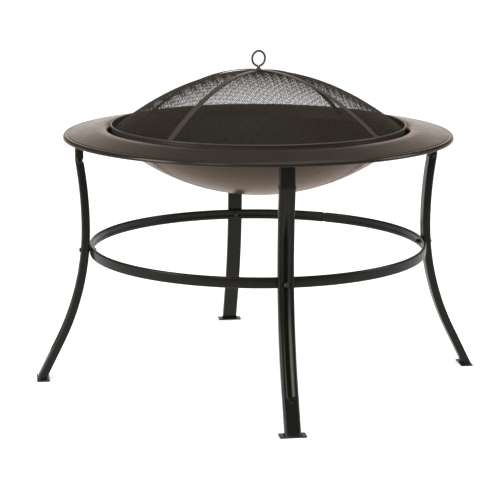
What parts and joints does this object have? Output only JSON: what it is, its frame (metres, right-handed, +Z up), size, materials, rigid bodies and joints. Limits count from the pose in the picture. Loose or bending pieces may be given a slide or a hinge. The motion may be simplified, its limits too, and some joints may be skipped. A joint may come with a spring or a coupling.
{
  "type": "fire pit with grate",
  "caption": "Round steel fire pit: shallow bowl with a wide rolled rim on bowed tube legs tied by a ring, with a lift-off domed mesh spark screen and a log grate.",
  "frame": {"origin": "on the floor, below the centre of the bowl", "axes": "+Z up along the bowl's axis; the legs stand on +X, +Y, -X and -Y, and the leg on -Y is the front one"},
  "size_m": [0.888, 0.888, 0.6511],
  "materials": {
    "bowl_finish": "satin dark bronze, heat-proof paint",
    "frame_paint": "satin black paint",
    "screen_paint": "satin black-brown paint",
    "mesh_wire": "black woven wire",
    "fasteners": "blackened steel",
    "grate_steel": "matt black heat-proof paint"
  },
  "bodies": {
    "stand": {"fire_bowl": "bowl_finish", "leg_right": "frame_paint", "leg_back": "frame_paint", "leg_left": "frame_paint", "leg_front": "frame_paint", "foot_plate_right": "frame_paint", "foot_plate_back": "frame_paint", "foot_plate_left": "frame_paint", "foot_plate_front": "frame_paint", "rim_bracket_right": "frame_paint", "rim_bracket_back": "frame_paint", "rim_bracket_left": "frame_paint", "rim_bracket_front": "frame_paint", "rim_screws": "fasteners", "rim_nuts": "fasteners", "ring_brace": "frame_paint", "ring_sleeve": "frame_paint", "ring_screws": "fasteners", "ring_nuts": "fasteners"},
    "spark_screen": {"screen_band": "screen_paint", "screen_mesh": "mesh_wire", "screen_strap_lower": "screen_paint", "screen_strap_upper": "screen_paint", "lift_ring": "screen_paint", "lift_washer": "fasteners", "lift_nut": "fasteners"},
    "log_grate": {"grate_ring": "grate_steel", "grate_bar_1": "grate_steel", "grate_bar_2": "grate_steel", "grate_bar_3": "grate_steel", "grate_bar_4": "grate_steel", "grate_bar_5": "grate_steel", "grate_bar_6": "grate_steel", "grate_bar_7": "grate_steel", "grate_bar_8": "grate_steel", "grate_foot_left": "grate_steel", "grate_foot_right": "grate_steel"}
  },
  "joints": [
    {"name": "screen_lift", "type": "slide", "parent": "stand", "child": "spark_screen", "axis": [0, 0, 1], "range_m": [0, 0.35]},
    {"name": "grate_lift", "type": "slide", "parent": "stand", "child": "log_grate", "axis": [0, 0, 1], "range_m": [0, 0.1]}
  ]
}
